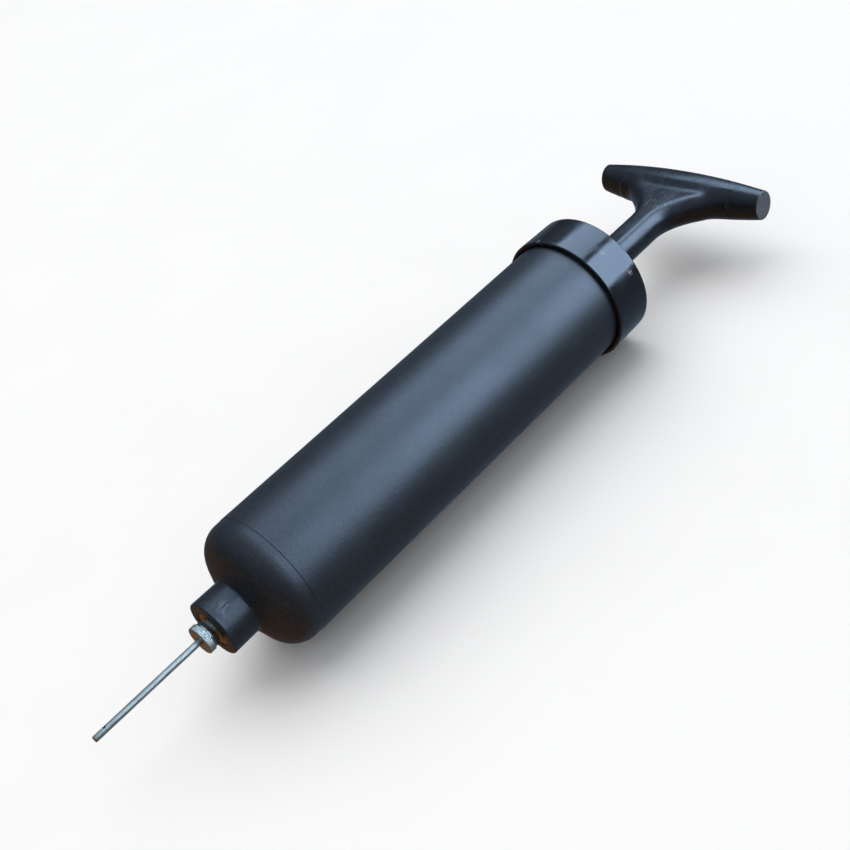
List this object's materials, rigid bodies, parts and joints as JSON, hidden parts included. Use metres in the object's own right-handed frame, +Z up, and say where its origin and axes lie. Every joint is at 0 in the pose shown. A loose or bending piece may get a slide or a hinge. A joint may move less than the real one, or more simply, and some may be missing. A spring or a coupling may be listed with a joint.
{
  "type": "ball inflation pump",
  "caption": "Hand pump for inflating balls: a black barrel with a rounded end, a screw-in needle, a capped rear end and a T-handle plunger, with its piston and valve inside.",
  "frame": {"origin": "on the pump's axis, where the needle tube leaves the front face of its knurled head", "axes": "+X along the pump's axis from the needle to the T-handle, +Z up with the pump lying on its side, and the handle's crossbar along Y"},
  "size_m": [0.2889, 0.0686, 0.0478],
  "materials": {
    "satin_black_plastic": "fine-textured satin black moulding",
    "gloss_black_plastic": "smooth semi-gloss black moulding",
    "handle_black_plastic": "smooth satin black moulding",
    "nickel_plate": "nickel plate, slightly dull",
    "brass": "turned brass",
    "seal_rubber": "plain black rubber",
    "white_plastic": "natural off-white moulding",
    "spring_steel": "drawn spring wire",
    "zinc_steel": "zinc-plated steel"
  },
  "bodies": {
    "pump_body": {"barrel": "satin_black_plastic", "barrel_cap": "gloss_black_plastic", "rod_guide": "gloss_black_plastic", "cap_bumper": "seal_rubber", "nozzle_insert": "brass", "nozzle_gasket": "seal_rubber", "valve_retainer": "white_plastic", "valve_spring": "spring_steel"},
    "outlet_valve": {"valve_disc": "seal_rubber"},
    "seal": {"piston_ring": "seal_rubber"},
    "plunger": {"handle": "handle_black_plastic", "piston_head": "white_plastic", "piston_screw": "zinc_steel", "screw_washer": "zinc_steel"},
    "washer": {"needle_washer": "seal_rubber"},
    "needle": {"needle_head": "nickel_plate", "needle_tube": "nickel_plate"}
  },
  "joints": [
    {"name": "plunger_stroke", "type": "slide", "parent": "pump_body", "child": "seal", "axis": [1, 0, 0], "range_m": [0, 0.138]},
    {"name": "plunger_turn", "type": "hinge", "parent": "seal", "child": "plunger", "pos_m": [0.0358, 0, 0], "axis": [1, 0, 0], "continuous": true},
    {"name": "valve_lift", "type": "slide", "parent": "pump_body", "child": "outlet_valve", "axis": [-1, 0, 0], "range_m": [0, 0.0008], "stiffness_N_per_m": 80, "springref_m": -0.002, "deforming": ["valve_spring"]},
    {"name": "needle_travel", "type": "slide", "parent": "pump_body", "child": "washer", "axis": [1, 0, 0], "range_m": [-0.009, 0.0005]},
    {"name": "needle_screw", "type": "hinge", "parent": "washer", "child": "needle", "pos_m": [0, 0, 0], "axis": [1, 0, 0], "range_deg": [-4090, 240]}
  ],
  "couplings": [
    {"joint": "needle_screw", "follows": "needle_travel", "rad_per_m": 7913.4}
  ]
}
